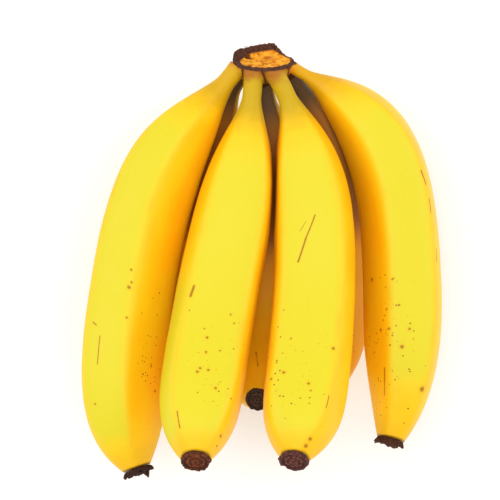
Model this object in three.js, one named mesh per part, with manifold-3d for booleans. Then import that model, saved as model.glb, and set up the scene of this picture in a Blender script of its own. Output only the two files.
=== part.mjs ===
// A bunch of bananas: seven fruits on one cut crown, each with the dried remains of its flower on
// its end. It lies on its rounded back, with the crown towards +Y and three fruits on the surface.
// Millimetres, +Z up. The origin is on the surface, under the middle of the bunch.
import * as THREE from "three";
import { mergeVertices } from "three/addons/utils/BufferGeometryUtils.js";
import Module from "manifold-3d";

const wasm = await Module();
wasm.setup();

// The bunch as a whole
const gap = 0.3; // between pieces that touch
const middle = new THREE.Vector3(5.88, -4.37, 0); // of the bunch, in the layout that follows
const flatSteps = 4; // between two ridges of a fruit, so that each ridge has a row of points
const rings = 21; // along a fruit
const ringCrowding = 0.35; // how much closer they stand at its two ends

// Every fruit, where its own entry says nothing else
const usualFruit = {
  body: 17.4, // radius where it is thickest
  stalk: 4.1, // radius of its stalk
  stalkLength: 10, // from the crown to where it begins to swell
  swell: 28, // length in which it does most of its swelling
  taper: 46, // length in which it narrows to its end
  fullness: 2.4, // of that end: a higher one stays wide for longer
  tip: 6, // radius of the blunt end
  lean: 0, // how far its shoulder stands out to the back of the bend
  turn: 0, // of its ridges round its middle line, in degrees
};

// Each fruit's middle line is a Bezier curve: where it leaves the crown, two handles, its end
const fruits = {
  front_far_left: {
    line: [[-5, 79.5, 60], [-30, 42, 51], [-71, -35, 45], [-49, -94.5, 58]],
    body: 18, stalkLength: 8, fullness: 3, lean: 8, turn: 17,
  },
  front_left: {
    line: [[1.5, 75, 62], [-1.5, 26, 54], [-21.5, -35, 50], [-22.5, -86, 95]],
    stalkLength: 9, swell: 27, fullness: 3.2,
  },
  front_right: {
    line: [[11.4, 75, 62], [35.8, 33, 52], [28.5, -35, 50], [18.5, -86, 94]],
    swell: 26, fullness: 3.6, turn: -28,
  },
  front_far_right: {
    line: [[18, 79.5, 58], [58.5, 53, 44], [77.5, -26.5, 36], [61.5, -82.5, 50]],
    body: 17.2, stalk: 2.6, stalkLength: 7, swell: 25, taper: 62, lean: 10, turn: 2,
  },
  back_middle: {
    line: [[6.3, 76.5, 48], [7.8, 33.5, 13], [2.5, -46.5, -8], [3, -64.5, 54]],
    body: 15.2, stalkLength: 7, swell: 26, taper: 40, tip: 4.8, turn: 2,
  },
  back_right: {
    line: [[16, 78, 50], [49.5, 46, 11], [36, -44, -5], [31.5, -60.5, 52]],
    body: 15.8, tip: 5,
  },
  back_left: {
    line: [[-3.7, 78, 50], [-28.2, 44.5, 6], [-37.5, -37, 3], [-33, -63, 36]],
    body: 15, swell: 26, tip: 5.2,
  },
};

// A fruit's five long ridges, at these angles from the inside of its bend: the broadest flat is there
const ridgeAngles = [-110, -44, 44, 110, 180].map(THREE.MathUtils.degToRad);
const ridgePower = 7; // a higher one makes sharper ridges
const ridgeStrength = 0.8; // 0 is round, 1 has the full ridges
const ridgesRise = [0.03, 0.18]; // part of the length in which they come up out of the stalk
const ridgesSoften = [0.8, 1]; // part of the length in which they soften towards the end
const ridgesLost = 0.6; // of their strength, at the end
const swellPower = 1.5; // how gently the swelling begins
const leanPeak = 2 / 7; // of the length, where a leaning shoulder stands out most

// The dried flower on a fruit's end: radius of each ring, of the fruit's end, and its height
const blossomProfile = [
  [0.9, 0], [1.04, 0.9], [1.0, 2.1], [0.84, 2.8], [0.62, 2.3], [0.44, 2.7], [0.28, 3.2],
];
const blossomSides = 14;

// The crown: a cushion with a cut face that looks past the stalks, up and away from the fruits
const faceCentre = new THREE.Vector3(5.8, 82, 60);
const faceTilt = THREE.MathUtils.degToRad(62); // of the cut face, from lying flat
const crownHalfWidth = 13; // along X
const nearHalfDepth = 9; // from the middle of the cut face to its edge above the front stalks
const farPeakDepth = 11.8; // and to the peak of its edge beside the rear ones
const farPeakPlace = 0.37; // part of the half width, towards +X, at which that peak is
const farEndDepth = 4; // of the far edge at its two ends
const farBluntness = 0.4; // of those ends: 0 is square, 1 is pointed
const bendBackFrom = -3; // height below which the cushion bends back to the rear stalks
const bendBack = 0.5; // for each millimetre below that
const crownSides = 24;
// Rings from the middle of the face, over the rim, to the bottom: part of half width, height
const crownProfile = [
  [0.45, -0.9], [0.8, -0.6], [0.92, 0.2], [1.0, 0], [1.02, -1.2], [0.96, -2.6],
  [0.93, -5], [0.82, -8.2], [0.6, -11], [0.3, -12.6],
];
const crownTop = -0.8;
const crownBottom = -13.3;
const lipHeight = 4.4; // of the dried lip on the far side of the face
const lipMiddle = THREE.MathUtils.degToRad(122); // its middle, round the face
const lipSpread = THREE.MathUtils.degToRad(92); // from there to where it ends
const lipStart = 0.85; // part of the half width outside which the lip rises
const lipFoot = -2.6; // height on the rim's outer side at which it begins to rise
const lipEvenness = 1.6; // a higher one keeps the lip at its full height for longer

// The crown reaches out to each stalk: how much wider than it, and how far along it
const socketProfile = [[1.2, -5.6], [0.8, -3.2], [0.3, -1.5], [0, 0.5]];
const socketSides = 12;
const stalkRoomLength = 9; // along a stalk, in which the crown keeps clear of it
const socketCover = 1.2; // of the cushion, between its cut face and what is inside it
const creaseTolerance = 0.05; // slivers thinner than this are taken out of the crown

const peelColour = 0xf2cf1f;
const crownColour = 0x8a5a2b;
const blossomColour = 0x4a3327;

const smoothStep = THREE.MathUtils.smoothstep; // of a value, from a low to a high limit

// A closed surface of revolution about Y, as one mesh with shared points
function turned(profile, segments) {
  const outline = profile.map(([radius, height]) => new THREE.Vector2(radius, height));
  const surface = new THREE.LatheGeometry(outline, segments);
  surface.deleteAttribute("normal");
  surface.deleteAttribute("uv");
  const shared = mergeVertices(surface, 1e-4);
  const corners = shared.getIndex().array;
  const kept = [];
  for (let i = 0; i < corners.length; i += 3) {
    const [a, b, c] = corners.slice(i, i + 3);
    if (a !== b && b !== c && c !== a) kept.push(a, b, c);
  }
  shared.setIndex(kept);
  return shared;
}

// Moves every point of a surface of revolution: place gets radius, height, angle
function reshaped(surface, place) {
  const points = surface.getAttribute("position");
  for (let i = 0; i < points.count; i += 1) {
    const [x, y, z] = [points.getX(i), points.getY(i), points.getZ(i)];
    const placed = place(Math.hypot(x, z), y, Math.atan2(-z, x));
    points.setXYZ(i, placed.x, placed.y, placed.z);
  }
  return surface;
}

// The radius of a fruit of a given length, at a distance along it
function fruitRadius(fruit, length, along) {
  const grown = Math.max(along - fruit.stalkLength, 0) / fruit.swell;
  const swollen = fruit.stalk + (fruit.body - fruit.stalk) * (1 - Math.exp(-(grown ** swellPower)));
  const narrowed = THREE.MathUtils.clamp((along - (length - fruit.taper)) / fruit.taper, 0, 1);
  return swollen * (1 - (1 - fruit.tip / fruit.body) * narrowed ** fruit.fullness);
}

// The flat before each ridge: the angles at which it starts and ends
const flats = ridgeAngles.map((ridge, i) => [i > 0 ? ridgeAngles[i - 1] : -Math.PI, ridge]);

// A five-sided section with rounded corners, as a distance from its middle
function section(angle) {
  let sum = 0;
  for (const [start, end] of flats) {
    const distance = Math.cos((end - start) / 2);
    sum += (Math.max(0, Math.cos(angle - (start + end) / 2)) / distance) ** ridgePower;
  }
  return sum ** (-1 / ridgePower);
}

function meanSection() {
  const samples = 360;
  let sum = 0;
  for (let i = 0; i < samples; i += 1) sum += section((i / samples) * 2 * Math.PI);
  return sum / samples;
}

// Moves evenly spaced angles, so that every ridge has one
function onRidges(angle) {
  const place = (angle / (2 * Math.PI) + 0.5) * flats.length;
  const flat = Math.min(Math.floor(place), flats.length - 1);
  return THREE.MathUtils.lerp(...flats[flat], place - flat);
}

// Directions along and across a fruit at each distance along its middle line
function fruitAxis(fruit) {
  const [root, neck, belly, end] = fruit.line.map((point) => new THREE.Vector3(...point));
  const curve = new THREE.CubicBezierCurve3(root, neck, belly, end);
  curve.arcLengthDivisions = 800;
  const length = curve.getLength();
  const inside = root.clone().add(end).multiplyScalar(0.5).sub(curve.getPoint(0.5));
  return {
    length,
    at(along) {
      const part = THREE.MathUtils.clamp(along / length, 0, 1);
      const forward = curve.getTangent(curve.getUtoTmapping(part)).normalize();
      const inward = inside.clone().addScaledVector(forward, -inside.dot(forward)).normalize();
      const aside = new THREE.Vector3().crossVectors(forward, inward);
      const outOfBend = (part ** 2 * (1 - part) ** 5) / (leanPeak ** 2 * (1 - leanPeak) ** 5);
      const point = curve.getPointAt(part).addScaledVector(inward, -fruit.lean * outOfBend);
      point.addScaledVector(forward, along - part * length);
      return { point, forward, inward, aside };
    },
  };
}

// A fruit with its stalk
function fruitSurface(fruit) {
  const axis = fruitAxis(fruit);
  const profile = [[0, 0]];
  for (let i = 0; i <= rings; i += 1) {
    const u = i / rings;
    const crowded = u - (ringCrowding * Math.sin(2 * Math.PI * u)) / (2 * Math.PI);
    const along = axis.length * crowded;
    profile.push([fruitRadius(fruit, axis.length, along), along]);
  }
  profile.push([0, axis.length]);
  const mean = meanSection();
  const turn = THREE.MathUtils.degToRad(fruit.turn);
  return reshaped(turned(profile, flatSteps * flats.length), (radius, along, evenAngle) => {
    const angle = onRidges(evenAngle);
    const part = along / axis.length;
    const softened = 1 - ridgesLost * smoothStep(part, ...ridgesSoften);
    const ridges = ridgeStrength * smoothStep(part, ...ridgesRise) * softened;
    const distance = radius * (1 + (section(angle) / mean - 1) * ridges);
    const { point, inward, aside } = axis.at(along);
    point.addScaledVector(inward, distance * Math.cos(angle + turn));
    point.addScaledVector(aside, distance * Math.sin(angle + turn));
    return point;
  });
}

// The dried flower, a little clear of the fruit's end
function blossomSurface(fruit) {
  const axis = fruitAxis(fruit);
  const end = axis.at(axis.length);
  const profile = blossomProfile.map(([part, height]) => [part * fruit.tip, height]);
  profile.unshift([0, 0]);
  profile.push([0, blossomProfile.at(-1)[1]]);
  return reshaped(turned(profile, blossomSides), (radius, height, angle) => (
    end.point.clone()
      .addScaledVector(end.forward, gap + height)
      .addScaledVector(end.inward, radius * Math.cos(angle))
      .addScaledVector(end.aside, radius * Math.sin(angle))
  ));
}

// How far the edge of the cut face is from its middle, towards the rear stalks
function edgeDepth(angle) {
  const [across, back] = [Math.cos(angle), Math.sin(angle)];
  if (back < 0) return nearHalfDepth * back;
  const end = across < farPeakPlace ? -1 : 1;
  const rise = (across - end) / (farPeakPlace - end);
  return THREE.MathUtils.lerp(farEndDepth, farPeakDepth, rise) * back ** farBluntness;
}

// The cushion of the crown, before the stalks join it
function crownCushion() {
  const out = new THREE.Vector3(0, Math.sin(faceTilt), Math.cos(faceTilt));
  const back = new THREE.Vector3(0, Math.cos(faceTilt), -Math.sin(faceTilt));
  const profile = [[0, crownTop], ...crownProfile, [0, crownBottom]].reverse();
  return reshaped(turned(profile, crownSides), (radius, height, angle) => {
    const turns = (angle - lipMiddle) / (2 * Math.PI);
    const fromLip = 2 * Math.PI * Math.abs(turns - Math.round(turns));
    const aroundLip = smoothStep(lipEvenness * (1 - fromLip / lipSpread), 0, 1);
    const acrossLip = smoothStep(radius, lipStart, 1) * smoothStep(height, lipFoot, 0);
    const raised = height + lipHeight * aroundLip * acrossLip;
    const bent = bendBack * Math.max(0, bendBackFrom - height);
    return faceCentre.clone()
      .addScaledVector(out, raised)
      .add(new THREE.Vector3(radius * crownHalfWidth * Math.cos(angle), 0, 0))
      .addScaledVector(back, radius * edgeDepth(angle) + bent);
  });
}

// The part of the crown that reaches out to one stalk
function crownSocket(fruit) {
  const root = fruitAxis(fruit).at(0);
  const profile = socketProfile.map(([wider, along]) => [fruit.stalk + wider, along]);
  const closed = [[0, profile[0][1] - 1], ...profile, [0, profile.at(-1)[1]]];
  return reshaped(turned(closed, socketSides), (radius, along, angle) => (
    root.point.clone()
      .addScaledVector(root.forward, along)
      .addScaledVector(root.inward, radius * Math.cos(angle))
      .addScaledVector(root.aside, radius * Math.sin(angle))
  ));
}

function asSolid(surface) {
  return new wasm.Manifold(new wasm.Mesh({
    numProp: 3,
    vertProperties: Float32Array.from(surface.getAttribute("position").array),
    triVerts: Uint32Array.from(surface.getIndex().array),
  }));
}

function asSurface(solid) {
  const mesh = solid.getMesh();
  const surface = new THREE.BufferGeometry();
  surface.setAttribute("position", new THREE.BufferAttribute(mesh.vertProperties, 3));
  surface.setIndex(new THREE.BufferAttribute(mesh.triVerts, 1));
  return surface;
}

// The room that a stalk and a gap round it take beside the crown
function stalkRoom(fruit) {
  const axis = fruitAxis(fruit);
  const radius = fruitRadius(fruit, axis.length, stalkRoomLength) + gap;
  const profile = [
    [0, -gap], [fruit.stalk + gap, -gap], [radius, stalkRoomLength], [0, stalkRoomLength],
  ];
  return reshaped(turned(profile, socketSides), (distance, along, angle) => {
    const { point, inward, aside } = axis.at(along);
    return point
      .addScaledVector(inward, distance * Math.cos(angle))
      .addScaledVector(aside, distance * Math.sin(angle));
  });
}

function crownSurface() {
  const into = new THREE.Vector3(0, -Math.sin(faceTilt), -Math.cos(faceTilt));
  const coverDepth = into.dot(faceCentre) + socketCover;
  let crown = asSolid(crownCushion());
  for (const fruit of allFruits) {
    crown = crown.add(asSolid(crownSocket(fruit)).trimByPlane(into.toArray(), coverDepth));
  }
  for (const fruit of allFruits) crown = crown.subtract(asSolid(stalkRoom(fruit)));
  return asSurface(crown.simplify(creaseTolerance));
}

// What would sink into the surface that the bunch lies on is flattened against it
function laidDown(surface) {
  const points = surface.getAttribute("position");
  for (let i = 0; i < points.count; i += 1) points.setZ(i, Math.max(0, points.getZ(i)));
  return surface;
}

function piece(name, surface, colour, roughness) {
  const material = new THREE.MeshStandardMaterial({ color: colour, roughness, metalness: 0 });
  surface.computeVertexNormals();
  const mesh = new THREE.Mesh(surface, material);
  mesh.name = name;
  return mesh;
}

const allFruits = Object.entries(fruits).map(([name, own]) => ({ name, ...usualFruit, ...own }));
const bunch = new THREE.Group();
bunch.add(piece("crown", crownSurface(), crownColour, 0.8));
for (const fruit of allFruits) {
  bunch.add(piece(`banana_${fruit.name}`, laidDown(fruitSurface(fruit)), peelColour, 0.45));
  bunch.add(piece(`blossom_${fruit.name}`, blossomSurface(fruit), blossomColour, 0.85));
}
bunch.position.copy(middle).negate();

export default bunch;
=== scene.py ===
"""A bunch of seven ripe bananas on one cut crown, lying on its rounded back, seen from above.

Shapes are worked out in millimetres in a plan that has the middle of the picture as its origin,
and become metres in the frame of the CAD part when their mesh is made.
"""
import math

import bpy
import numpy as np
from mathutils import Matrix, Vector, noise


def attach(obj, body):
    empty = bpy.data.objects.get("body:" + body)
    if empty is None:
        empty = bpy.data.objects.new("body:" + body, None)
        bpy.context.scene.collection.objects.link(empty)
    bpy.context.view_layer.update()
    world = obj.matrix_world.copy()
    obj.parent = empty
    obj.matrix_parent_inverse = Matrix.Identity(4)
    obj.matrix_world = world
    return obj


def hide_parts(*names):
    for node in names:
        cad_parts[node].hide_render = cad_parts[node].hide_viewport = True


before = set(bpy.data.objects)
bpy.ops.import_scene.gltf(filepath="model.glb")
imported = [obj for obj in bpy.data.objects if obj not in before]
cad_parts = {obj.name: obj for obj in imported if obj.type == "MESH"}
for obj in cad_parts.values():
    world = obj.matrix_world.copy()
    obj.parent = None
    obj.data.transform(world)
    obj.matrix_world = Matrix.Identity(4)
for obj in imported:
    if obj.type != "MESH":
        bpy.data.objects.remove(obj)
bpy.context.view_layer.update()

MM = 0.001  # in metres
MIDDLE = np.array([5.88, -4.37, 0.0])  # the frame's origin, in the plan

# The picture, taken from straight above
PICTURE_SIDE = 500  # picture points
CAMERA_HEIGHT = 900.0  # above the surface
FRONT_ROW_HEIGHT = 65.0
POINT_SIZE = 0.43  # that one picture point covers at the height of the front row
FOCAL_POINTS = (CAMERA_HEIGHT - FRONT_ROW_HEIGHT) / POINT_SIZE
SENSOR_WIDTH = 36.0

# Every fruit, where its own entry says nothing else
USUAL_FRUIT = dict(
    body=17.4,  # radius where it is thickest
    stalk=4.1,  # radius of its stalk
    stalk_length=10.0,  # from the crown to where it begins to swell
    swell=28.0,  # length in which it does most of its swelling
    taper=46.0,  # length in which it narrows to its end
    fullness=2.4,  # of that end: a higher one stays wide for longer
    tip=6.0,  # radius of the blunt end
    lean=0.0,  # how far its shoulder stands out to the back of the bend
    turn=0.0,  # of its ridges round its middle line, in degrees
    lemon=(),  # flats painted lemon as painted light where they face it: angle from the inside of the bend, where it begins
    lemon_until=(2.0, 9.0),  # distance from the fruit's end over which it fades
    rear=False,  # in the rear row, where painted shade browns it near the crown, on the side under the others
    outer=0.0,  # how orange its stalk is, as at the sides of the bunch
    seed=0,
)

# Middle lines: where a fruit leaves the crown, two handles of its Bezier curve, its end
FRUITS = dict(
    front_far_left=dict(
        line=((-5, 79.5, 60), (-30, 42, 51), (-71, -35, 45), (-49, -94.5, 58)),
        body=18, stalk_length=8, fullness=3, lean=8, turn=17,
        lemon=((77, 18, 40),), lemon_until=(4, 18), outer=0.5, seed=1,
    ),
    front_left=dict(
        line=((1.5, 75, 62), (-1.5, 26, 54), (-21.5, -35, 50), (-22.5, -86, 95)),
        stalk_length=9, swell=27, fullness=3.2, lemon=((0, 18, 40), (77, 70, 105)), seed=2,
    ),
    front_right=dict(
        line=((11.4, 75, 62), (35.8, 33, 52), (28.5, -35, 50), (18.5, -86, 94)),
        swell=26, fullness=3.6, turn=-28, lemon=((0, 18, 40),), seed=3,
    ),
    front_far_right=dict(
        line=((18, 79.5, 58), (58.5, 53, 44), (77.5, -26.5, 36), (61.5, -82.5, 50)),
        body=17.2, stalk=2.6, stalk_length=7, swell=25, taper=62, lean=10, turn=2,
        lemon=((-77, 18, 40),), lemon_until=(12, 32), outer=1, seed=4,
    ),
    back_middle=dict(
        line=((6.3, 76.5, 48), (7.8, 33.5, 13), (2.5, -46.5, -8), (3, -64.5, 54)),
        body=15.2, stalk_length=7, swell=26, taper=40, tip=4.8, turn=2, rear=True, seed=5,
    ),
    back_right=dict(
        line=((16, 78, 50), (49.5, 46, 11), (36, -44, -5), (31.5, -60.5, 52)),
        body=15.8, tip=5, rear=True, seed=6,
    ),
    back_left=dict(
        line=((-3.7, 78, 50), (-28.2, 44.5, 6), (-37.5, -37, 3), (-33, -63, 36)),
        body=15, swell=26, tip=5.2, rear=True, seed=7,
    ),
)

# A fruit's five long ridges, at these angles from the inside of its bend: its broadest flat is there
RIDGE_ANGLES = np.radians([-110, -44, 44, 110, 180])
FLATS = list(zip([-math.pi, *RIDGE_ANGLES[:-1]], RIDGE_ANGLES))
RIDGE_POWER = 8  # a higher one makes sharper ridges
RIDGE_STRENGTH = 0.85  # 0 is round, 1 has the full ridges
RIDGES_RISE = (0.03, 0.18)  # part of the length in which they come up out of the stalk
RIDGES_SOFTEN = (0.8, 1.0)  # part of the length in which they soften towards the end
RIDGES_LOST = 0.6  # of their strength, at the end
CREST_HEIGHT = 0.22  # of the fine line on each ridge
CREST_WIDTH = 1.5
SWELL_POWER = 1.5  # how gently the swelling begins
LEAN_PEAK = 2 / 7  # of the length, where a leaning shoulder stands out most
RING_CROWDING = 0.35  # how much closer the rings stand at both ends of a fruit
RINGS = 190
SIDES = 110
UNEVENNESS = ((26.0, 0.3), (7.0, 0.06))  # size of each kind of dent, and its depth
DENTS_BEGIN = (0.02, 0.3)  # part of the length in which they come up
LEMON_EDGE = math.radians(9)  # on both sides of a ridge, over which it fades
NEIGHBOUR_SHADE_REACH = 4.0  # distance within which painted shade browns a fruit's skin beside a neighbour
CROWDING_STEPS = 90  # places along a neighbour from which that is measured
SHELTERED_UNTIL = (60.0, 105.0)  # distance from the crown over which the painted shade on a rear fruit fades out
UNDER_OTHERS = (0.15, 0.65)  # how much a rear fruit's skin looks up at the others, over which painted shade browns it under them
NECK_CLEAR = (8.0, 22.0)  # distance from the crown over which painted shade beside its neighbours begins on a front one

# The crown: a cushion with a cut face that looks past the stalks, up and away from the fruits
FACE_CENTRE = np.array([5.8, 82.0, 60.0])
FACE_TILT = math.radians(62)  # of the cut face, from lying flat
FACE_OUT = np.array([0, math.sin(FACE_TILT), math.cos(FACE_TILT)])
FACE_BACK = np.array([0, math.cos(FACE_TILT), -math.sin(FACE_TILT)])
CROWN_HALF_WIDTH = 13.0  # along X
NEAR_HALF_DEPTH = 9.0  # from the middle of the cut face to its edge above the front stalks
FAR_PEAK_DEPTH = 11.8  # and to the peak of its edge beside the rear ones
FAR_PEAK_PLACE = 0.37  # part of the half width, towards +X, at which that peak is
FAR_END_DEPTH = 4.0  # of the far edge at its two ends
FAR_BLUNTNESS = 0.4  # of those ends: 0 is square, 1 is pointed
BEND_BACK_FROM = -3.0  # height below which the cushion bends back to the rear stalks
BEND_BACK = 0.5  # for each millimetre below that
# Rings from the middle of the face, over the rim, to the bottom: part of half width, height
CROWN_PROFILE = (
    (0.45, -0.9), (0.8, -0.6), (0.92, 0.2), (1.0, 0), (1.02, -1.2), (0.96, -2.6),
    (0.93, -5), (0.82, -8.2), (0.6, -11), (0.3, -12.6),
)
CROWN_TOP = -0.8
CROWN_BOTTOM = -13.3
LIP_HEIGHT = 4.4  # of the dried lip on the far side of the face
LIP_MIDDLE = math.radians(100)  # round the face
LIP_SPREADS = math.radians(62), math.radians(115)  # to where it ends on the right, and on the left
LIP_START = 0.88  # part of the half width outside which the lip rises
LIP_FOOT = -2.6  # height on the rim's outer side at which it begins to rise
LIP_EVENNESS = 1.6
# The dark rim: from this part of the way to the edge, down to this height on its outer side
NEAR_FACE_EDGE, FAR_FACE_EDGE, LEFT_FACE_EDGE = 0.9, 0.89, 0.76
NEAR_RIM_FOOT, FAR_RIM_FOOT = -1.3, -2.6
NEAR_TO_FAR = (-3, 3)  # from the middle of the face towards the rear, where the one becomes the other
LEFT_END = (0.45, 0.85)  # part of the half width, towards -X, over which the left one takes over
FACE_EDGE_SOFTNESS = 0.03
RIM_FOOT_SOFTNESS = 0.4
# The crown reaches out round each stalk: how much wider than it, and how far along it
COLLAR_PROFILE = ((1.0, -5.6), (0.8, -3.2), (0.45, -1.4), (0.2, 0.6), (0.03, 2.2), (-0.4, 4.0))
COLLAR_COVER = 1.2  # of the cushion, between its cut face and what is inside it
CREASE = (0.7, 2.4)  # distance from the nearest stalk over which painted shade darkens the skin between them
CREASE_HALF_WIDTH = (0.3, 1.5)  # and how much further away the next one is
CROWN_GRAIN = 0.3  # size of the squares that its surface is made of
JOIN_SOFTENING = 5  # rounds of smoothing where the stalks join it
# On the cut face, from its middle to the right and to the far side
FACE_CRACK = ((-0.6, -0.2), (1.6, -2.0))
FACE_BLOTCH = (2.0, 5.0)
FACE_BLOTCH_SIZE = 2.2
CRACK_EDGE = (0.15, 0.6)  # distance from its line over which the crack gets shallow
PIT_SIZE = 2.2
PIT_STRETCH = (0.6, 1, 1)  # they are longer across the face
PIT_DEPTH = 1.1
PIT_OPENS = (0.2, 0.5)  # strength of the noise over which a pit opens
PITS_HALVE = (-8, 0)  # place across the face, towards +X, over which they get half as strong
COARSE_CRUMBS, FINE_CRUMBS = 1.6, 0.7  # sizes of the crumbs of the face and of the rim
PIT_SEED, COARSE_SEED, FINE_SEED = 33, 31, 32
FACE_CRUMB_HEIGHT, RIM_CRUMB_HEIGHT = 0.3, 0.25
FACE_FOOT = (-2.2, -1.4)  # height over which the cut face ends
RIM_OUTSIDE = (1.06, 1.14)  # part of the way to the edge over which the rim ends
OLIVE_EDGE = (0.62, 0.88)  # part of the way to the near edge over which the face turns olive
OLIVE_NEAR = (1, 4)  # distance from the middle of the face towards that edge, over which it does
ROUND_STEPS = 720  # angles at which an outline is measured


def smooth(value, low, high):
    """Goes gently from 0 at the low limit to 1 at the high one."""
    part = np.clip((value - low) / (high - low), 0, 1)
    return part * part * (3 - 2 * part)


def on_picture(points):
    """Where points of the plan are in the picture, in picture points from its top left corner."""
    scale = FOCAL_POINTS / (CAMERA_HEIGHT - points[..., 2])
    across = PICTURE_SIDE / 2 + points[..., 0] * scale
    down = PICTURE_SIDE / 2 - points[..., 1] * scale
    return np.stack([across, down], axis=-1)


SEED_SHIFT = np.array([17.3, 5.1, 9.7])  # from the noise of one seed to that of the next


def waviness(points, size, seed):
    """Soft noise from -1 to 1 at each point, for bumps of about that size."""
    shift = Vector(seed * SEED_SHIFT)
    return np.array([noise.noise(Vector(point) / size + shift) for point in points])


# The middle line of a fruit
def bezier(line, t):
    """Points and directions of a Bezier curve with four control points."""
    start, first, second, end = np.array(line, float)
    t = t[:, None]
    s = 1 - t
    points = s**3 * start + 3 * s * s * t * first + 3 * s * t * t * second + t**3 * end
    slopes = 3 * s * s * (first - start) + 6 * s * t * (second - first) + 3 * t * t * (end - second)
    return points, slopes / np.linalg.norm(slopes, axis=1, keepdims=True)


CURVE_STEPS = 1600  # in which a curve's length is measured


class MiddleLine:
    """The curve down the middle of a fruit, with the directions across it."""

    def __init__(self, fruit):
        self.fruit = fruit
        self.t = np.linspace(0, 1, CURVE_STEPS + 1)
        points, _ = bezier(fruit["line"], self.t)
        steps = np.linalg.norm(np.diff(points, axis=0), axis=1)
        self.distances = np.concatenate([[0], np.cumsum(steps)])
        self.length = self.distances[-1]
        self.inside = (points[0] + points[-1]) / 2 - bezier(fruit["line"], np.array([0.5]))[0][0]

    def t_at(self, along):
        return np.interp(along, self.distances, self.t)

    def at(self, along):
        """Point, forward, inward and aside at each distance along the fruit."""
        part = np.clip(along / self.length, 0, 1)
        points, forward = bezier(self.fruit["line"], self.t_at(part * self.length))
        inward = self.inside - forward * (forward @ self.inside)[:, None]
        inward /= np.linalg.norm(inward, axis=1, keepdims=True)
        aside = np.cross(forward, inward)
        peak = LEAN_PEAK**2 * (1 - LEAN_PEAK) ** 5
        out_of_bend = self.fruit["lean"] * part**2 * (1 - part) ** 5 / peak
        points = points - inward * out_of_bend[:, None]
        points = points + forward * (along - part * self.length)[:, None]
        return points, forward, inward, aside


def fruit_radius(fruit, length, along):
    """Radius at each distance along a fruit: stalk, shoulder, belly and blunt end."""
    grown = np.maximum(along - fruit["stalk_length"], 0) / fruit["swell"]
    swollen = fruit["stalk"] + (fruit["body"] - fruit["stalk"]) * (1 - np.exp(-(grown**SWELL_POWER)))
    narrowed = np.clip((along - (length - fruit["taper"])) / fruit["taper"], 0, 1)
    return swollen * (1 - (1 - fruit["tip"] / fruit["body"]) * narrowed ** fruit["fullness"])


def section(angles):
    """A five-sided section with rounded corners, as a distance from its middle."""
    total = 0
    for start, end in FLATS:
        distance = math.cos((end - start) / 2)
        total = total + (np.maximum(0, np.cos(angles - (start + end) / 2)) / distance) ** RIDGE_POWER
    return total ** (-1 / RIDGE_POWER)


MEAN_SECTION = section(np.linspace(-math.pi, math.pi, ROUND_STEPS, endpoint=False)).mean()


def apart(angles, angle):
    """How far each angle is from another one, the short way round."""
    turns = (angles - angle) / (2 * math.pi)
    return 2 * math.pi * np.abs(turns - np.round(turns))


def ridge_nearness(angles, radii):
    """1 on the line of each ridge, 0 a few millimetres beside it."""
    nearness = np.zeros(np.broadcast(angles, radii).shape)
    for ridge in RIDGE_ANGLES:
        beside = apart(angles, ridge) * radii
        nearness = np.maximum(nearness, np.exp(-((beside / CREST_WIDTH) ** 2)))
    return nearness


def lit_lemon_share(fruit, angles, along, length):
    """Painted light: how lemon each point of a fruit is, on the flats that face the light, whole
    flats up to their ridges, but neither of its ends.
    """
    share = np.zeros(np.broadcast(angles, along).shape)
    for angle, low, high in fruit["lemon"]:
        middle = math.radians(angle)
        start, end = min(FLATS, key=lambda flat: abs(middle - (flat[0] + flat[1]) / 2))
        over_ridge = apart(angles, (start + end) / 2) - (end - start) / 2
        ends = smooth(along, low, high) * smooth(length - along, *fruit["lemon_until"])
        share = np.maximum(share, (1 - smooth(over_ridge, -LEMON_EDGE, LEMON_EDGE)) * ends)
    return share


# Meshes
def grid_faces(rings, sides):
    """Quads between rings of points, and a fan at each end round the two points that follow."""
    faces = []
    for ring in range(rings - 1):
        for side in range(sides):
            after = (side + 1) % sides
            low, high = ring * sides, (ring + 1) * sides
            faces.append((low + side, low + after, high + after, high + side))
    first_end = rings * sides
    last = (rings - 1) * sides
    for side in range(sides):
        after = (side + 1) % sides
        faces.append((first_end, after, side))
        faces.append((first_end + 1, last + side, last + after))
    return faces


def closed_tube(rings, start, end):
    """Points and faces of a closed surface through rings of points, from one end to the other."""
    count, sides, _ = rings.shape
    points = np.concatenate([rings.reshape(-1, 3), [start, end]])
    return points, grid_faces(count, sides)


def shown(name, points, faces):
    """An object with a smooth-shaded mesh, from points of the plan."""
    mesh = bpy.data.meshes.new(name)
    mesh.from_pydata(((points - MIDDLE) * MM).tolist(), [], faces)
    mesh.shade_smooth()
    made = bpy.data.objects.new(name, mesh)
    bpy.context.scene.collection.objects.link(made)
    return made


def with_ends(values):
    """Values of the rings of a closed tube, with 0 for the two points that close it."""
    return np.concatenate([values.ravel(), [0, 0]])


def keep_values(thing, **named_values):
    """Stores numbers or vectors for the points of a mesh, by name, for its material to read."""
    for name, values in named_values.items():
        kind, field = ("FLOAT_VECTOR", "vector") if values.ndim == 2 else ("FLOAT", "value")
        stored = thing.data.attributes.new(name, kind, "POINT")
        stored.data.foreach_set(field, np.ascontiguousarray(values, np.float32).ravel())


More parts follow.
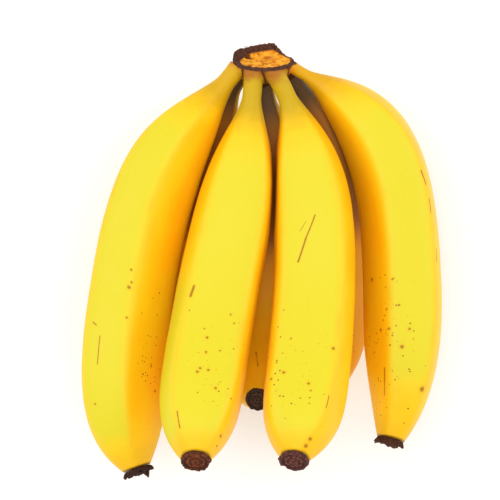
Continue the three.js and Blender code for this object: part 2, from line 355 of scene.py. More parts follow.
# Materials
# Kinds of node: type, settings, the inputs that are given in order, the output that is used
STORED = ("Attribute", {}, (), "Fac")
STORED_VECTOR = ("Attribute", {}, (), "Vector")
COLOUR_MIX = ("Mix", {"data_type": "RGBA"}, (0, 6, 7), 2)  # share of the second, first, second
RAMP_INPUTS = ("Value", "From Min", "From Max", "To Min", "To Max")
RAMP = ("MapRange", {"interpolation_type": "SMOOTHSTEP"}, RAMP_INPUTS, "Result")
NOISE = ("TexNoise", {}, ("Vector", "Scale", "Detail"), "Fac")
CELLS = ("TexVoronoi", {}, ("Vector", "Scale"), "Distance")
CHANNELS = ("SeparateColor", {}, (0,), "Red")
ALONG = ("SeparateXYZ", {}, (0,), "Z")
BUMP = ("Bump", {}, ("Height", "Strength", "Distance"), 0)
SUM, DIFFERENCE, PRODUCT, QUOTIENT, SMALLER, IS_LESS, PRODUCT_PLUS = [
    ("Math", {"operation": operation}, (0, 1, 2), 0)
    for operation in ("ADD", "SUBTRACT", "MULTIPLY", "DIVIDE", "MINIMUM", "LESS_THAN", "MULTIPLY_ADD")
]
OFFSET = ("VectorMath", {"operation": "SUBTRACT"}, (0, 1), 0)
STRETCHED = ("VectorMath", {"operation": "MULTIPLY"}, (0, 1), 0)
SCALED = ("VectorMath", {"operation": "SCALE"}, (0, "Scale"), 0)
DOT = ("VectorMath", {"operation": "DOT_PRODUCT"}, (0, 1), "Value")
DISTANCE = ("VectorMath", {"operation": "DISTANCE"}, (0, 1), "Value")


def linear(colour):
    """An sRGB hex colour as the linear values that a shader takes."""
    channels = [(colour >> shift & 255) / 255 for shift in (16, 8, 0)]
    return (*[c / 12.92 if c <= 0.04045 else ((c + 0.055) / 1.055) ** 2.4 for c in channels], 1)


def feed(node, inputs):
    """Gives each input of a node its value, or the socket that feeds it."""
    for key, value in inputs.items():
        if isinstance(value, bpy.types.NodeSocket):
            node.id_data.links.new(value, node.inputs[key])
        else:
            node.inputs[key].default_value = value


def add(tree, kind, *inputs, **settings):
    """Adds a node of one kind, with its settings and links, and gives the socket of its output."""
    node_type, usual_settings, keys, output = kind
    node = tree.nodes.new("ShaderNode" + node_type)
    for name, value in {**usual_settings, **settings}.items():
        setattr(node, name, value)
    feed(node, dict(zip(keys, inputs)))
    return node.outputs[output]


def new_material(name):
    """A material, its nodes and its surface shader."""
    material = bpy.data.materials.new(name)
    material.use_nodes = True
    tree = material.node_tree
    return material, tree, tree.nodes["Principled BSDF"]


# Marks on the peel: where each is in the picture
STROKES = dict(  # from one place to another, and half its width in millimetres
    front_far_left=(((99.6, 336), (97.5, 364), 0.22), ((93, 322), (96, 325), 0.25)),
    front_left=(((194, 286), (190.5, 296), 0.5), ((177.5, 411), (180, 428), 0.28)),
    front_right=(
        ((315, 215), (306, 238), 0.28), ((306, 238), (298, 262), 0.34),
        ((300, 231), (306, 221), 0.12), ((329, 396), (326, 408), 0.25),
    ),
    front_far_right=(
        ((384.6, 368), (384.6, 382), 0.4), ((384.6, 380), (384.4, 395), 0.25),
        ((421, 171), (426, 184), 0.45), ((429.5, 200), (431, 212), 0.4),
        ((436, 248), (436.5, 262), 0.35),
    ),
    back_middle=(((256, 352), (258, 366), 0.25),),
)
SPOTS = dict(  # middle, and radius in millimetres
    front_far_left=(
        ((129, 287), 0.75), ((131.5, 282), 0.5), ((131.5, 270), 0.5), ((127, 318), 0.5),
        ((95, 404), 0.45), ((155, 391), 0.6), ((143, 374), 0.45), ((151, 366), 0.45),
    ),
    front_left=(
        ((221, 436), 0.75), ((217, 446), 0.5), ((230.6, 315), 0.4), ((234, 323), 0.4),
        ((207, 337.7), 0.6), ((204, 328.3), 0.35), ((206, 352), 0.5), ((199.7, 368), 0.55),
        ((197, 371.7), 0.6), ((208.4, 370), 0.55), ((215.5, 387.8), 0.6), ((220, 351), 0.4),
    ),
    front_right=(
        ((310, 439), 0.75), ((306, 445.5), 0.85), ((271.8, 379), 0.6), ((284, 372.5), 0.65),
        ((308.6, 383.5), 0.6), ((291, 338), 0.4), ((310.5, 390.5), 0.4), ((333, 348), 0.7),
    ),
    front_far_right=(
        ((372, 280), 0.85), ((392.5, 279), 0.5), ((386.5, 309), 0.5), ((399, 305), 0.5),
        ((388.6, 328.5), 0.6), ((409.6, 329), 0.55), ((380.5, 330), 0.7), ((402, 347), 0.8),
        ((422, 389), 1.1),
    ),
)
SPECKLED = dict(  # fields of small specks: middle, half width and half height, how dense
    front_far_left=(((147, 366), (11, 30), 1.0), ((145, 315), (10, 22), 0.3)),
    front_left=(((212, 366), (22, 34), 1.0),),
    front_right=(((292, 372), (28, 36), 0.9),),
    front_far_right=(((385, 345), (24, 62), 0.8), ((400, 290), (18, 20), 0.4)),
    back_right=(((349, 350), (9, 16), 0.9),),
)
NEAREST_POINTS = 4
NEAREST_SOFTNESS = 0.001  # so that a mark right on a point of the mesh divides by no zero


def marked_places(fruit_name, positions, straight, facing):
    """The places on the straightened fruit of its strokes and spots."""
    pictured = on_picture(positions[facing])
    candidates = straight[facing]

    def place(pixel):
        """Between the points of the mesh that are nearest to it in the picture."""
        away = np.linalg.norm(pictured - np.array(pixel, float), axis=1)
        nearest = np.argsort(away)[:NEAREST_POINTS]
        weights = 1 / (away[nearest] ** 2 + NEAREST_SOFTNESS)
        return Vector((candidates[nearest] * weights[:, None]).sum(axis=0) / weights.sum())

    strokes = [(place(a), place(b), width) for a, b, width in STROKES.get(fruit_name, ())]
    spots = [(place(middle), radius) for middle, radius in SPOTS.get(fruit_name, ())]
    return strokes, spots


def speckling(fruit_name, positions, facing):
    """How densely each point of a fruit is speckled, from 0 to 1."""
    density = np.zeros(len(positions))
    pictured = on_picture(positions)
    for middle, half_size, strength in SPECKLED.get(fruit_name, ()):
        off = (pictured - np.array(middle, float)) / np.array(half_size, float)
        density = np.maximum(density, strength * np.exp(-((off**2).sum(axis=1))))
    return density * facing


def nearness_to_marks(tree, straight, strokes, spots):
    """The socket of the distance to the nearest mark, as a part of that mark's half width."""
    reaches = []
    for start, end, width in strokes:
        run = end - start
        from_start = add(tree, OFFSET, straight, start)
        part = add(tree, DOT, from_start, run / run.length_squared)
        part = add(tree, SUM, part, 0.0, use_clamp=True)
        away = add(tree, DISTANCE, from_start, add(tree, SCALED, run, part))
        reaches.append(add(tree, QUOTIENT, away, width))
    for middle, radius in spots:
        reaches.append(add(tree, QUOTIENT, add(tree, DISTANCE, straight, middle), radius))
    nearest = reaches.pop()
    for reach in reaches:
        nearest = add(tree, SMALLER, nearest, reach)
    return nearest


# Sizes of the patterns in the peel
CLOUD_SIZE = 20.0  # of patches that are riper than others
STRAND_WIDTH = 1.4
STRAND_STRETCH = 0.07  # how fast a strand changes along the fruit, against across it
STALK_BLOTCH_SIZE = 6.0
SPECK_SPACING = 1.8
SPECK_RADII = (0.07, 0.27)  # parts of that spacing
FRECKLE_SPACING = 5.0
FRECKLE_RADII = (0.03, 0.07)  # parts of that spacing, over which a freckle fades
CRUMB_SIZE = 0.35  # of the unevenness of a speck's or a mark's edge
PORE_SPACING = 0.6
PORE_DEPTH = 0.3
GLOW_DEPTH = 2.0  # to which light goes into the peel
# Distances along a fruit from where it leaves the crown, and from its other end
ROOT_UNTIL = (-1.5, 4.0)  # orange-brown root of the stalk
OLIVE_UNTIL = (13.0, 27.0)  # olive stalk
DARK_SHADE_UNTIL = (12.0, 28.0)  # painted shade: darker brown between the stalks
END_FROM = (2.0, 12.0)  # duller skin at the blunt end
END_EDGE = (0.0, 0.9)  # brown edge round the flower


def stalk_colours(tree, colour, along):
    """Ripe peel turning olive down the stalk and orange-brown where it joins the crown."""
    place = add(tree, STORED_VECTOR, attribute_name="place")
    blotches = add(tree, NOISE, place, 1 / STALK_BLOTCH_SIZE, 2.0)
    shifted = add(tree, SUM, along, add(tree, PRODUCT_PLUS, blotches, 8.0, -4.0))
    outer = add(tree, STORED, attribute_name="outer")
    olive = add(tree, COLOUR_MIX, outer, linear(0xC4A00C), linear(0xD8A00A))
    root = add(tree, COLOUR_MIX, outer, linear(0xA8611E), linear(0xD9780E))
    colour = add(tree, COLOUR_MIX, add(tree, RAMP, shifted, *OLIVE_UNTIL, 1.0, 0.0), colour, olive)
    return add(tree, COLOUR_MIX, add(tree, RAMP, shifted, *ROOT_UNTIL, 0.9, 0.0), colour, root)


def ripeness(tree, clouds, strands):
    """The yellow of the flats, lemon where painted light falls on those that face it, and warmer
    lines on the ridges.
    """
    riper = add(tree, RAMP, clouds, 0.3, 0.7)
    colour = add(tree, COLOUR_MIX, riper, linear(0xFCBC0A), linear(0xFAC60E))
    stranded = add(tree, RAMP, strands, 0.45, 0.85, 0.0, 0.3)
    colour = add(tree, COLOUR_MIX, stranded, colour, linear(0xEEB00C))
    # painted light: lemon on the flats that face the light
    lemon = add(tree, STORED, attribute_name="lemon")
    colour = add(tree, COLOUR_MIX, lemon, colour, linear(0xDACA26))
    ridge = add(tree, STORED, attribute_name="ridge")
    worn = add(tree, PRODUCT, ridge, add(tree, RAMP, clouds, 0.45, 0.75, 0.0, 0.3))
    return add(tree, COLOUR_MIX, worn, colour, linear(0xD08A0C))


def shaded_and_ended(tree, colour, clouds, along, length):
    """Painted shade: brown skin where others crowd a fruit or lie over it; and a duller blunt end
    with a brown edge.
    """
    # painted shade: brown where neighbours crowd the fruit, and on rear fruits under the others near
    # the crown
    crowding = add(tree, STORED, attribute_name="crowding")
    shade_share = add(tree, RAMP, crowding, 0.2, 0.8, 0.0, 0.95)
    from_stalks = add(tree, RAMP, along, *DARK_SHADE_UNTIL)
    shade = add(tree, COLOUR_MIX, from_stalks, linear(0x5C4A3A), linear(0xA8702E))
    colour = add(tree, COLOUR_MIX, shade_share, colour, shade)
    from_end = add(tree, DIFFERENCE, length, along)
    wavy = add(tree, SUM, from_end, add(tree, PRODUCT_PLUS, clouds, 3.0, -1.5))
    end = add(tree, RAMP, from_end, *END_FROM, 0.35, 0.0)
    colour = add(tree, COLOUR_MIX, end, colour, linear(0xD8A814))
    edge = add(tree, RAMP, wavy, *END_EDGE, 0.6, 0.0)
    return add(tree, COLOUR_MIX, edge, colour, linear(0x8A5A1C))


def specks(tree, straight, crumbs):
    """Sockets of the ripening specks, up to 1 mm across, and of their colour."""
    cells = add(tree, CELLS, straight, 1 / SPECK_SPACING)
    chances = add(tree, CHANNELS, cells.node.outputs["Color"]).node.outputs
    radius = add(tree, RAMP, chances["Red"], 0.0, 1.0, *SPECK_RADII)
    ragged = add(tree, SUM, cells, add(tree, PRODUCT_PLUS, crumbs, 0.12, -0.06))
    inside = add(tree, RAMP, add(tree, DIFFERENCE, radius, ragged), -0.02, 0.05)
    density = add(tree, STORED, attribute_name="speckling")
    speck = add(tree, PRODUCT, inside, add(tree, IS_LESS, chances["Green"], density))
    return speck, add(tree, COLOUR_MIX, chances["Blue"], linear(0x7A3A08), linear(0xC0700C))


def marked(tree, colour, marks, crumbs):
    """Scratches, rubs and larger spots: brown with a ragged edge, in a faint orange halo."""
    halo = add(tree, RAMP, marks, 0.8, 3.0, 0.3, 0.0)
    colour = add(tree, COLOUR_MIX, halo, colour, linear(0xE89A0C))
    ragged = add(tree, SUM, marks, add(tree, PRODUCT_PLUS, crumbs, 1.2, -0.6))
    scar = add(tree, RAMP, ragged, 0.4, 1.5, 0.75, 0.0)
    return add(tree, COLOUR_MIX, scar, colour, linear(0x7E400A))


def ripe_peel(fruit_name, length, strokes, spots):
    """Ripe banana peel: a waxy skin with soft gloss, egg yellow with lemon painted light on the flats
    that face the light, painted shade where others crowd it, brown specks and rubs.

    The pores of a real peel are finer, and these are drawn coarser so that they show.
    """
    material, tree, surface = new_material(f"ripe_banana_peel_{fruit_name}")
    straight = add(tree, STORED_VECTOR, attribute_name="straight")
    along = add(tree, ALONG, straight)
    clouds = add(tree, NOISE, straight, 1 / CLOUD_SIZE, 3.0)
    lengthwise = add(tree, STRETCHED, straight, (1, 1, STRAND_STRETCH))
    strands = add(tree, NOISE, lengthwise, 1 / STRAND_WIDTH, 2.0)
    crumbs = add(tree, NOISE, straight, 1 / CRUMB_SIZE, 1.0)

    colour = stalk_colours(tree, ripeness(tree, clouds, strands), along)
    colour = shaded_and_ended(tree, colour, clouds, along, length)
    speck, speck_colour = specks(tree, straight, crumbs)
    colour = add(tree, COLOUR_MIX, add(tree, PRODUCT, speck, 0.9), colour, speck_colour)
    freckles = add(tree, CELLS, straight, 1 / FRECKLE_SPACING)
    freckle = add(tree, RAMP, freckles, *FRECKLE_RADII, 0.35, 0.0)
    colour = add(tree, COLOUR_MIX, freckle, colour, linear(0xB07A10))
    if strokes or spots:
        marks = nearness_to_marks(tree, straight, strokes, spots)
        colour = marked(tree, colour, marks, crumbs)

    pores = add(tree, NOISE, straight, 1 / PORE_SPACING, 2.0)
    relief = add(tree, SUM, pores, add(tree, PRODUCT, strands, 1.5))
    relief = add(tree, DIFFERENCE, relief, add(tree, PRODUCT, speck, 0.6))
    feed(surface, {
        "Base Color": colour,
        "Normal": add(tree, BUMP, relief, 0.12, PORE_DEPTH * MM),
        "Roughness": add(tree, RAMP, clouds, 0.3, 0.7, 0.42, 0.5),
        "IOR": 1.45,
        "Specular IOR Level": 0.25,
        "Subsurface Weight": 0.08,
        "Subsurface Radius": (1.0, 0.6, 0.1),
        "Subsurface Scale": GLOW_DEPTH * MM,
    })
    return material


FIBRE_SIZE = 0.7
FIBRE_DEPTH = 0.5


def dried_flower(fruit_name, hollow, raised_colour):
    """Dried banana blossom: dead plant fibre, dark and matt, with redder rings where it is raised."""
    material, tree, surface = new_material(f"dried_banana_blossom_{fruit_name}")
    place = add(tree, STORED_VECTOR, attribute_name="straight")
    crumbs = add(tree, NOISE, place, 1 / FIBRE_SIZE, 4.0)
    lighter = add(tree, RAMP, crumbs, 0.3, 0.7)
    colour = add(tree, COLOUR_MIX, lighter, linear(0x2A1710), linear(hollow))
    raised = add(tree, STORED, attribute_name="raised")
    on_ring = add(tree, PRODUCT, raised, add(tree, RAMP, crumbs, 0.35, 0.65))
    feed(surface, {
        "Base Color": add(tree, COLOUR_MIX, on_ring, colour, linear(raised_colour)),
        "Normal": add(tree, BUMP, crumbs, 0.7, FIBRE_DEPTH * MM),
        "Roughness": 0.85,
        "Specular IOR Level": 0.2,
    })
    return material


# Sizes of the patterns in the cut crown
CHUNK_SIZE = 2.4  # of paler lumps of the flesh
STREAK_WIDTH = 0.8
STREAK_STRETCH = 0.25  # how fast a streak changes across the face, against down it
CORK_GRAIN = 0.9
CORK_DEPTH = 0.4


def cut_flesh(tree, place, streaks):
    """The cut face: orange lumps and darker streaks, a brown blotch, an olive edge and dark pits."""
    chunks = add(tree, RAMP, add(tree, NOISE, place, 1 / CHUNK_SIZE, 3.0), 0.38, 0.62)
    flesh = add(tree, COLOUR_MIX, chunks, linear(0xE08414), linear(0xF6AE30))
    streaked = add(tree, RAMP, streaks, 0.5, 0.8, 0.0, 0.35)
    flesh = add(tree, COLOUR_MIX, streaked, flesh, linear(0xB0601A))
    blotch = add(tree, RAMP, add(tree, STORED, attribute_name="blotch"), 0.3, 0.8, 0.0, 0.7)
    flesh = add(tree, COLOUR_MIX, blotch, flesh, linear(0xB4580C))
    for stored, shade in (("olive", 0xB08A1C), ("pit", 0x5A2A0E)):
        share = add(tree, STORED, attribute_name=stored)
        flesh = add(tree, COLOUR_MIX, share, flesh, linear(shade))
    return flesh


def cut_crown():
    """Cut banana crown: corky orange flesh in a dark dried rim, turning to peel on the stalks, with
    painted shade between the stalks.
    """
    material, tree, surface = new_material("cut_banana_crown")
    place = add(tree, STORED_VECTOR, attribute_name="place")
    crumbs = add(tree, NOISE, place, 1 / CORK_GRAIN, 4.0)
    down_face = add(tree, STRETCHED, place, (STREAK_STRETCH, 1, 1))
    streaks = add(tree, NOISE, down_face, 1 / STREAK_WIDTH, 2.0)
    face = add(tree, STORED, attribute_name="face")
    rim = add(tree, STORED, attribute_name="rim")

    skin = stalk_colours(tree, linear(0xF4C010), add(tree, STORED, attribute_name="along_stalk"))
    # painted shade: dark in the creases between the stalks and on rear stalks under the others
    crease_shade = add(tree, STORED, attribute_name="crease_shade")
    skin = add(tree, COLOUR_MIX, crease_shade, skin, linear(0x4E2C18))
    colour = add(tree, COLOUR_MIX, face, skin, cut_flesh(tree, place, streaks))
    lighter = add(tree, RAMP, crumbs, 0.3, 0.7)
    dried = add(tree, COLOUR_MIX, lighter, linear(0x3A2018), linear(0x5E3A2A))
    dry = add(tree, SUM, face, rim, use_clamp=True)
    relief = add(tree, SUM, crumbs, add(tree, PRODUCT, streaks, 0.8))
    feed(surface, {
        "Base Color": add(tree, COLOUR_MIX, rim, colour, dried),
        "Normal": add(tree, BUMP, relief, 0.5, CORK_DEPTH * MM),
        "Roughness": add(tree, RAMP, dry, 0.0, 1.0, 0.46, 0.85),
        "IOR": 1.45,
        "Specular IOR Level": 0.25,
    })
    return material


# The bananas
def crowding(name, points, from_crown, upward):
    """Painted shade at each point of a fruit: 1 where a neighbour touches it, 0 well away from all;
    on a rear fruit also near the crown where it looks up at the others.
    """
    nearest = np.full(len(points), NEIGHBOUR_SHADE_REACH)
    for other, line in lines.items():
        if other != name:
            along = np.linspace(0, line.length, CROWDING_STEPS)
            centres = line.at(along)[0]
            distances = np.linalg.norm(points[:, None, :] - centres, axis=2)
            clear = distances - fruit_radius(bananas[other], line.length, along)
            nearest = np.minimum(nearest, clear.min(axis=1))
    shade_beside = 1 - smooth(nearest, 0, NEIGHBOUR_SHADE_REACH)
    if bananas[name]["rear"]:
        shade_under_others = smooth(upward, *UNDER_OTHERS) * (1 - smooth(from_crown, *SHELTERED_UNTIL))
        return np.maximum(shade_beside, shade_under_others)
    return shade_beside * smooth(from_crown, *NECK_CLEAR)


def make_banana(name, fruit):
    """One banana with its stalk: ridged skin with fine dents, bent along its middle line."""
    line = lines[name]
    evenly = np.linspace(0, 1, RINGS)
    along = line.length * (evenly - RING_CROWDING * np.sin(2 * math.pi * evenly) / (2 * math.pi))
    sides = np.linspace(-math.pi, math.pi, SIDES, endpoint=False)
    corners = np.linspace(-math.pi, math.pi, len(FLATS) + 1)
    angles = np.interp(sides, corners, [-math.pi, *RIDGE_ANGLES])
    turned = angles + math.radians(fruit["turn"])

    part = (along / line.length)[:, None]
    softened = 1 - RIDGES_LOST * smooth(part, *RIDGES_SOFTEN)
    ridges = RIDGE_STRENGTH * smooth(part, *RIDGES_RISE) * softened
    radii = fruit_radius(fruit, line.length, along)[:, None]
    crests = ridge_nearness(angles[None, :], radii) * ridges
    out = radii * (1 + (section(angles)[None, :] / MEAN_SECTION - 1) * ridges)
    out = out + CREST_HEIGHT * crests
    straight = np.stack(
        np.broadcast_arrays(out * np.cos(angles), out * np.sin(angles), along[:, None]), axis=-1
    ).reshape(-1, 3)
    dents = sum(depth * waviness(straight, size, fruit["seed"]) for size, depth in UNEVENNESS)
    out = out + dents.reshape(out.shape) * smooth(part, *DENTS_BEGIN)

    centre, _, inward, aside = [values[:, None, :] for values in line.at(along)]
    outward = inward * np.cos(turned)[:, None] + aside * np.sin(turned)[:, None]
    rings = centre + outward * out[..., None]
    points, faces = closed_tube(rings, centre[0, 0], centre[-1, 0])
    points[:, 2] = np.maximum(points[:, 2], 0)
    banana = shown(f"banana_{name}", points, faces)

    straight = np.concatenate([straight, [[0, 0, 0], [0, 0, line.length]]])
    upward = with_ends(outward[..., 2])
    facing = upward > 0
    keep_values(
        banana,
        straight=straight,
        place=points,
        ridge=with_ends(crests),
        lemon=with_ends(lit_lemon_share(fruit, angles[None, :], along[:, None], line.length)),
        crowding=crowding(name, points, straight[:, 2], upward),
        speckling=speckling(name, points, facing),
        outer=np.full(len(points), fruit["outer"]),
    )
    strokes, spots = marked_places(name, points, straight, facing)
    banana.data.materials.append(ripe_peel(name, line.length, strokes, spots))
    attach(banana, "root")
    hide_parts(f"banana_{name}")


# The dried flowers: radius as a part of the fruit's end, height, how far it is a raised ring
BLOSSOM_PROFILE = (
    (0.88, 0.3, 0), (0.97, 0.3, 0), (1.03, 0.8, 0), (1.05, 1.4, 0.2), (1.02, 2.0, 0.4),
    (0.96, 2.4, 0.5), (0.88, 2.4, 0.2), (0.8, 1.9, 0), (0.72, 1.6, 0), (0.64, 1.9, 0.6),
    (0.56, 2.2, 1), (0.48, 2.0, 0.5), (0.4, 1.7, 0), (0.32, 2.0, 0.4), (0.24, 2.5, 0.9),
    (0.16, 2.6, 0.6), (0.08, 2.3, 0.1),
)
BLOSSOM_SIDES = 72
BLOSSOM_MIDDLE = 2.2  # height of its middle
GAP = 0.3  # between a fruit and its flower
FRAY_SIZES = ((2.2, 1, 0), (0.9, 0.5, 20))  # of its edge: size, share, step in the seed
FRAY_BEGINS = (0.3, 2.0)  # height over which the edge comes to wander
FRAYED_FROM = 0.7  # part of the fruit's end outside which it does
ROUNDNESS_LOST = 0.06  # of every ring
# Each flower: colour of its hollows, of its raised rings, and how far its edge wanders
USUAL_FLOWER = (0x4A2A1A, 0x7A4426, 0.5)
FLOWERS = dict(
    front_far_left=(0x3A221A, 0x4E3226, 1.1),
    front_left=(0x5A2E1C, 0xA04E1E, 0.45),
    front_right=(0x5E3432, 0x8E5240, 0.45),
    front_far_right=(0x4A2A1A, 0x7A4426, 1.0),
    back_middle=(0x3E302A, 0x5C4A40, 0.5),
)
# Stump of the flower's style: angle from the inside of the bend, part of the radius, height, width
NO_STUMP = (0, 0, 0, 1)
STUMPS = dict(front_left=(0, 0.86, 1.7, 1.3), front_far_left=(-75, 0.8, 3.0, 1.1))
STUMP_FOOT = (0.8, 2.0)  # height of the ring over which it rises


def flower_ring(name, fruit, part, height):
    """Points of one ring of a dried flower: inward, aside and forward of the fruit's end."""
    angles = np.linspace(0, 2 * math.pi, BLOSSOM_SIDES, endpoint=False)
    even = np.stack([part * np.cos(angles), part * np.sin(angles), 0 * angles + height / 4], axis=-1)
    wander = sum(
        share * waviness(even * fruit["tip"], size, fruit["seed"] + step)
        for size, share, step in FRAY_SIZES
    )
    _, _, frayed_by = FLOWERS.get(name, USUAL_FLOWER)
    fray = smooth(height, *FRAY_BEGINS) * frayed_by * wander
    radii = fruit["tip"] * part * (1 + ROUNDNESS_LOST * wander) + fray * (part > FRAYED_FROM)
    inward, aside = radii * np.cos(angles), radii * np.sin(angles)
    turn, stump_part, stump_height, stump_width = STUMPS.get(name, NO_STUMP)
    stump_out = fruit["tip"] * stump_part
    stump_inward = stump_out * math.cos(math.radians(turn))
    stump_aside = stump_out * math.sin(math.radians(turn))
    from_stump = np.hypot(inward - stump_inward, aside - stump_aside)
    stump = stump_height * np.exp(-((from_stump / stump_width) ** 2)) * smooth(height, *STUMP_FOOT)
    return np.stack([inward, aside, height + fray + stump], axis=-1)


def make_blossom(name, fruit):
    """The dried flower on the end of a banana: a frayed edge round raised rings."""
    line = lines[name]
    point, forward, inward, aside = [values[0] for values in line.at(np.array([line.length]))]
    places = np.array([flower_ring(name, fruit, part, height) for part, height, _ in BLOSSOM_PROFILE])
    rings = point + forward * GAP + places @ np.array([inward, aside, forward])
    start = point + forward * GAP
    points, faces = closed_tube(rings, start, start + forward * BLOSSOM_MIDDLE)
    blossom = shown(f"blossom_{name}", points, faces)
    raised = np.repeat([ring for _, _, ring in BLOSSOM_PROFILE], BLOSSOM_SIDES)
    keep_values(
        blossom,
        straight=np.concatenate([places.reshape(-1, 3), [[0, 0, 0], [0, 0, BLOSSOM_MIDDLE]]]),
        raised=with_ends(raised),
    )
    hollow, raised_colour, _ = FLOWERS.get(name, USUAL_FLOWER)
    blossom.data.materials.append(dried_flower(name, hollow, raised_colour))
    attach(blossom, "root")
    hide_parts(f"blossom_{name}")


# The crown
def edge_depth(angles):
    """How far the edge of the cut face is from its middle, towards the rear stalks."""
    across, back = np.cos(angles), np.sin(angles)
    end = np.where(across < FAR_PEAK_PLACE, -1, 1)
    rise = (across - end) / (FAR_PEAK_PLACE - end)
    depth = FAR_END_DEPTH + (FAR_PEAK_DEPTH - FAR_END_DEPTH) * rise
    return np.where(back > 0, depth * np.maximum(back, 0) ** FAR_BLUNTNESS, NEAR_HALF_DEPTH * back)


def part_of_edge(across, back):
    """How far out each point of the cut face is: 0 in its middle, 1 at its edge."""
    angles = np.linspace(-math.pi, math.pi, ROUND_STEPS + 1)
    edge_across, edge_back = np.cos(angles), edge_depth(angles) / NEAR_HALF_DEPTH
    edge_directions = np.arctan2(edge_back, edge_across)
    edge_directions[[0, -1]] = -math.pi, math.pi
    back = back / NEAR_HALF_DEPTH
    edge = np.interp(np.arctan2(back, across), edge_directions, np.hypot(edge_across, edge_back))
    return np.hypot(across, back) / edge


def distance_to_stroke(places, start, end):
    """How far each place on a plane is from the line between two points."""
    start, run = np.array(start), np.array(end) - np.array(start)
    part = np.clip((places - start) @ run / (run @ run), 0, 1)
    return np.linalg.norm(places - start - part[:, None] * run, axis=1)


CUSHION_SIDES = 120
COLLAR_SIDES = 48


def cushion():
    """Points and faces of the crown's cushion, before the stalks join it."""
    angles = np.linspace(0, 2 * math.pi, CUSHION_SIDES, endpoint=False)
    on_right = np.cos(angles - LIP_MIDDLE + math.pi / 2) > 0
    spread = np.where(on_right, *LIP_SPREADS)
    around_lip = smooth(LIP_EVENNESS * (1 - apart(angles, LIP_MIDDLE) / spread), 0, 1)
    rings = []
    for radius, height in CROWN_PROFILE:
        across_lip = smooth(radius, LIP_START, 1) * smooth(height, LIP_FOOT, 0)
        raised = height + LIP_HEIGHT * around_lip * across_lip
        back = radius * edge_depth(angles) + BEND_BACK * max(0, BEND_BACK_FROM - height)
        rings.append(
            FACE_CENTRE + FACE_OUT * raised[:, None]
            + np.array([CROWN_HALF_WIDTH, 0, 0]) * (radius * np.cos(angles))[:, None]
            + FACE_BACK * back[:, None]
        )
    top = FACE_CENTRE + FACE_OUT * CROWN_TOP
    bottom = FACE_CENTRE + FACE_OUT * CROWN_BOTTOM
    return closed_tube(np.array(rings), top, bottom)


def collar(fruit, line):
    """Points and faces of the part of the crown that reaches out round one stalk."""
    angles = np.linspace(0, 2 * math.pi, COLLAR_SIDES, endpoint=False)
    along = np.array([distance for _, distance in COLLAR_PROFILE])
    radii = fruit_radius(fruit, line.length, along) + [wider for wider, _ in COLLAR_PROFILE]
    _, forward, _, _ = line.at(np.zeros(1))
    centre, _, inward_here, aside_here = line.at(np.maximum(along, 0))
    behind = np.minimum(along, 0)[:, None] * forward
    rings = (
        (centre + behind)[:, None, :]
        + inward_here[:, None, :] * (radii[:, None] * np.cos(angles))[..., None]
        + aside_here[:, None, :] * (radii[:, None] * np.sin(angles))[..., None]
    )
    points, faces = closed_tube(rings, centre[0] + behind[0] - forward[0], centre[-1])
    above = np.maximum(0, (points - FACE_CENTRE) @ FACE_OUT + COLLAR_COVER)
    return points - FACE_OUT * above[:, None], faces


def crown_mesh():
    """The cushion and its collars as one skin, with soft joins."""
    pieces = [cushion()] + [collar(fruit, lines[name]) for name, fruit in bananas.items()]
    points, faces = [], []
    for piece_points, piece_faces in pieces:
        base = sum(len(earlier) for earlier in points)
        points.append(piece_points)
        faces += [tuple(base + corner for corner in face) for face in piece_faces]
    rough = shown("crown_rough", np.concatenate(points), faces)
    remesh = rough.modifiers.new("one_skin", "REMESH")
    remesh.mode = "VOXEL"
    remesh.voxel_size = CROWN_GRAIN * MM
    soften = rough.modifiers.new("soft_joins", "SMOOTH")
    soften.iterations = JOIN_SOFTENING
    mesh = bpy.data.meshes.new_from_object(
        rough.evaluated_get(bpy.context.evaluated_depsgraph_get())
    )
    bpy.data.objects.remove(rough)
    return mesh


def vectors_of(items, field):
    """One row of three numbers for each point of a mesh."""
    values = np.zeros(len(items) * 3)
    items.foreach_get(field, values)
    return values.reshape(-1, 3)


def left_by_the_cut(points):
    """What the cut left at each point of the crown, for its material, and how rough it is there."""
    off = points - FACE_CENTRE
    across = off[:, 0] / CROWN_HALF_WIDTH
    height = off @ FACE_OUT
    back = off @ FACE_BACK - BEND_BACK * np.maximum(0, BEND_BACK_FROM - height)
    radius = part_of_edge(across, back)
    far = smooth(back, *NEAR_TO_FAR)
    face_edge = NEAR_FACE_EDGE + (FAR_FACE_EDGE - NEAR_FACE_EDGE) * far
    face_edge += (LEFT_FACE_EDGE - face_edge) * smooth(-across, *LEFT_END)
    rim_foot = NEAR_RIM_FOOT + (FAR_RIM_FOOT - NEAR_RIM_FOOT) * far
    off_face = smooth(radius - face_edge, -FACE_EDGE_SOFTNESS, FACE_EDGE_SOFTNESS)
    face = (1 - off_face) * smooth(height, *FACE_FOOT)
    over_foot = smooth(height - rim_foot, -RIM_FOOT_SOFTNESS, RIM_FOOT_SOFTNESS)
    rim = off_face * over_foot * (1 - smooth(radius, *RIM_OUTSIDE))

    on_face = np.stack([off[:, 0], back], axis=1)
    pitted = smooth(waviness(points * PIT_STRETCH, PIT_SIZE, PIT_SEED), *PIT_OPENS)
    pitted = pitted * (1 - 0.5 * smooth(off[:, 0], *PITS_HALVE))
    crack = 1 - smooth(distance_to_stroke(on_face, *FACE_CRACK), *CRACK_EDGE)
    pits = np.maximum(pitted, crack) * face
    coarse = waviness(points, COARSE_CRUMBS, COARSE_SEED)
    fine = waviness(points, FINE_CRUMBS, FINE_SEED)
    rough = FACE_CRUMB_HEIGHT * face * (coarse + 0.5 * fine)
    rough = rough + RIM_CRUMB_HEIGHT * rim * (coarse + fine) - PIT_DEPTH * pits
    return rough, dict(
        face=face,
        rim=rim,
        pit=pits,
        blotch=np.exp(-(((on_face - FACE_BLOTCH) / FACE_BLOTCH_SIZE) ** 2).sum(axis=1)),
        olive=smooth(radius, *OLIVE_EDGE) * smooth(-back, *OLIVE_NEAR) * face,
    )


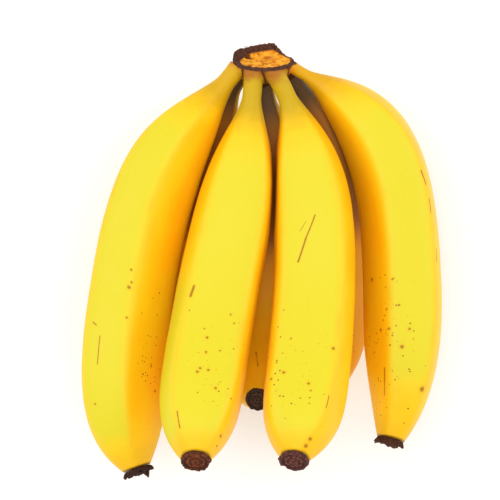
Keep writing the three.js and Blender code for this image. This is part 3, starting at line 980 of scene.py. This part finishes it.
def by_nearest_stalk(points, upward):
    """Values of the stalk nearest to each point, and painted shade in the creases between the stalks
    and on rear stalks under the others.
    """
    along, rear, outer = np.zeros((3, len(points)))
    reach, second = np.full((2, len(points)), np.inf)
    for name, fruit in bananas.items():
        start, forward, _, _ = [values[0] for values in lines[name].at(np.array([0.0]))]
        run = (points - start) @ forward
        beside = np.linalg.norm(points - start - run[:, None] * forward, axis=1) - fruit["stalk"]
        closer = beside < reach
        second = np.where(closer, reach, np.minimum(second, beside))
        reach = np.where(closer, beside, reach)
        along = np.where(closer, run, along)
        rear = np.where(closer, fruit["rear"], rear)
        outer = np.where(closer, fruit["outer"], outer)
    between = 1 - smooth(second - reach, *CREASE_HALF_WIDTH)
    under = rear * smooth(upward, *UNDER_OTHERS)
    crease_shade = np.maximum.reduce([smooth(reach, *CREASE), between, under])
    return dict(along_stalk=along, crease_shade=crease_shade, outer=outer)


def make_crown():
    """The crown that all stalks grow from, with its cut face, its rough rim and its dried lip."""
    mesh = crown_mesh()
    points = vectors_of(mesh.vertices, "co") / MM + MIDDLE
    normals = vectors_of(mesh.vertex_normals, "vector")
    rough, cut = left_by_the_cut(points)
    points = points + normals * rough[:, None]
    mesh.vertices.foreach_set("co", ((points - MIDDLE) * MM).ravel())
    mesh.shade_smooth()
    mesh.update()
    crown = bpy.data.objects.new("crown_cut", mesh)
    bpy.context.scene.collection.objects.link(crown)
    keep_values(crown, place=points, **cut, **by_nearest_stalk(points, normals[:, 2]))
    mesh.materials.clear()
    mesh.materials.append(cut_crown())
    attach(crown, "root")
    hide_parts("crown")


bananas = {name: {**USUAL_FRUIT, **own} for name, own in FRUITS.items()}
lines = {name: MiddleLine(fruit) for name, fruit in bananas.items()}
for name, fruit in bananas.items():
    make_banana(name, fruit)
    make_blossom(name, fruit)
make_crown()


# The surface, the light and the camera
def white_floor():
    """Smooth white card: lit brightly enough to lose all shading, as in the picture."""
    material, _, surface = new_material("white_card")
    feed(surface, {
        "Base Color": linear(0xDEDEDE),
        "Roughness": 0.9,
        "Emission Color": (1, 1, 1, 1),
        "Emission Strength": 0.25,
    })
    return material


FLOOR_SIDE = 6000.0
half = FLOOR_SIDE / 2
floor = shown(
    "floor",
    np.array([[-half, -half, 0], [half, -half, 0], [half, half, 0], [-half, half, 0]]),
    [(0, 1, 2, 3)],
)
floor.data.materials.append(white_floor())


BUNCH_MIDDLE = Vector((0, 0, 50 * MM))


def soft_light(name, place, side, power):
    """A square softbox that looks at the middle of the bunch."""
    lamp = bpy.data.lights.new(name, "AREA")
    lamp.size = side * MM
    lamp.energy = power
    made = bpy.data.objects.new(name, lamp)
    bpy.context.scene.collection.objects.link(made)
    made.location = (np.array(place) * MM).tolist()
    aim = BUNCH_MIDDLE - made.location
    made.rotation_euler = aim.to_track_quat("-Z", "Y").to_euler()


soft_light("overhead_softbox", (-100, 100, 1500), 900, 7.7)
soft_light("left_softbox", (-1300, 300, 900), 800, 6.6)
soft_light("right_softbox", (1300, 200, 900), 800, 6.6)

world = bpy.data.worlds.new("bright_room")
bpy.context.scene.world = world
world.use_nodes = True
feed(world.node_tree.nodes["Background"], {"Color": (1, 1, 1, 1), "Strength": 0.75})

lens = bpy.data.cameras.new("camera")
lens.sensor_width = SENSOR_WIDTH
lens.lens = FOCAL_POINTS / PICTURE_SIDE * SENSOR_WIDTH
camera = bpy.data.objects.new("camera", lens)
bpy.context.scene.collection.objects.link(camera)
camera.location = (-MIDDLE[0] * MM, -MIDDLE[1] * MM, CAMERA_HEIGHT * MM)
bpy.context.scene.camera = camera
bpy.context.scene.view_settings.view_transform = "Standard"
